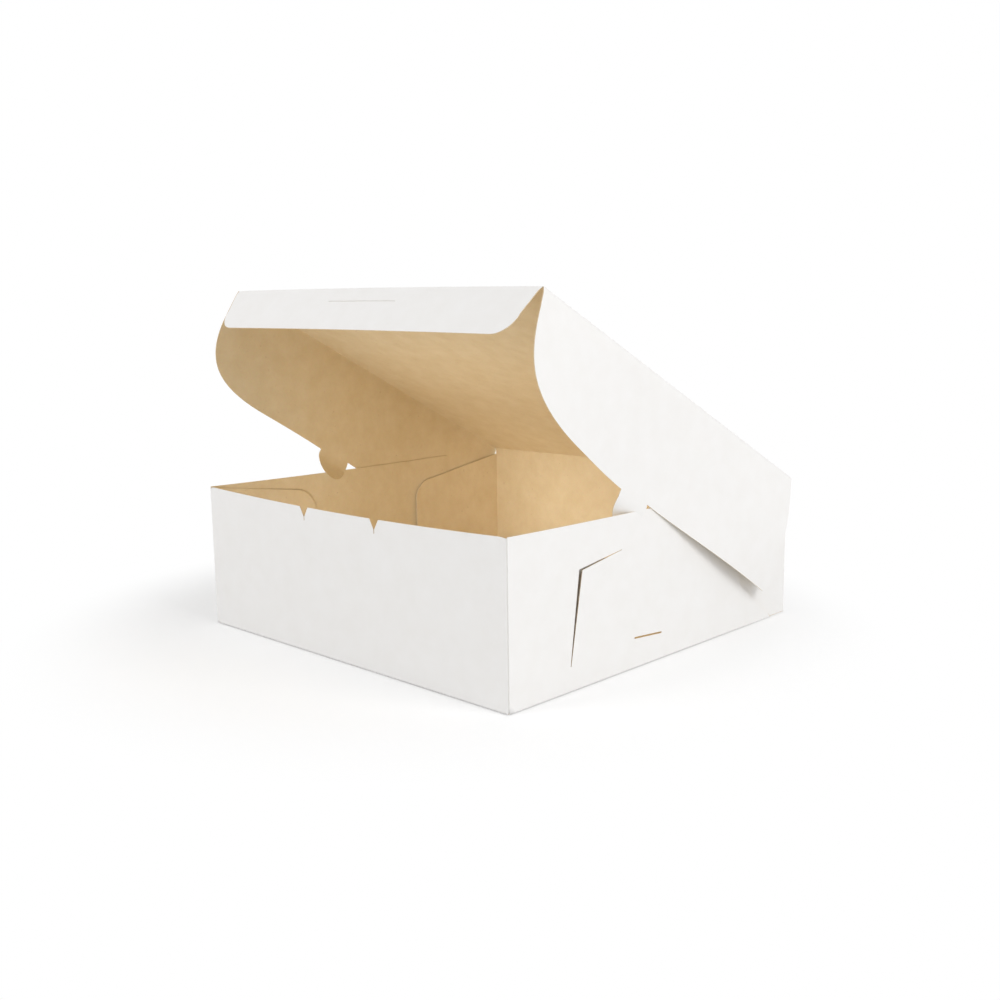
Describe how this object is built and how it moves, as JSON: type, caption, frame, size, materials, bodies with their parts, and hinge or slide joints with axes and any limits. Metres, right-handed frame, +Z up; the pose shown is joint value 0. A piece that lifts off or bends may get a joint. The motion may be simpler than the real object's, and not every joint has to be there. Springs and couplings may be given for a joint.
{
  "type": "cake box",
  "caption": "Square folded card cake box with low walls, locked corners and a hinged lid whose front and side flaps close outside the tray.",
  "frame": {"origin": "middle of the tray's base, on the surface that it stands on", "axes": "+Z up, -Y towards the front wall, +X to the right as seen from the front"},
  "size_m": [0.3036, 0.3001, 0.238],
  "materials": {
    "tray_card": "matt white coated outside, brown kraft inside",
    "lid_card": "matt white coated outside, brown kraft inside"
  },
  "bodies": {
    "tray": {"tray": "tray_card"},
    "lid": {"lid_panel": "lid_card"},
    "front_flap": {"front_flap": "lid_card"},
    "left_flap": {"left_flap": "lid_card"},
    "right_flap": {"right_flap": "lid_card"}
  },
  "joints": [
    {"name": "lid_hinge", "type": "hinge", "parent": "tray", "child": "lid", "pos_m": [0, 0.15, 0.1027], "axis": [-1, 0, 0], "range_deg": [-26.6, 153.4]},
    {"name": "front_flap_fold", "type": "hinge", "parent": "lid", "child": "front_flap", "pos_m": [0, -0.11959, 0.2377], "axis": [-1, 0, 0], "range_deg": [-13.4, 76.6]},
    {"name": "left_flap_fold", "type": "hinge", "parent": "lid", "child": "left_flap", "pos_m": [-0.1515, 0.15, 0.1027], "axis": [0, 0.8942, -0.4478], "range_deg": [0, 90]},
    {"name": "right_flap_fold", "type": "hinge", "parent": "lid", "child": "right_flap", "pos_m": [0.1515, 0.15, 0.1027], "axis": [0, -0.8942, 0.4478], "range_deg": [0, 90]}
  ]
}
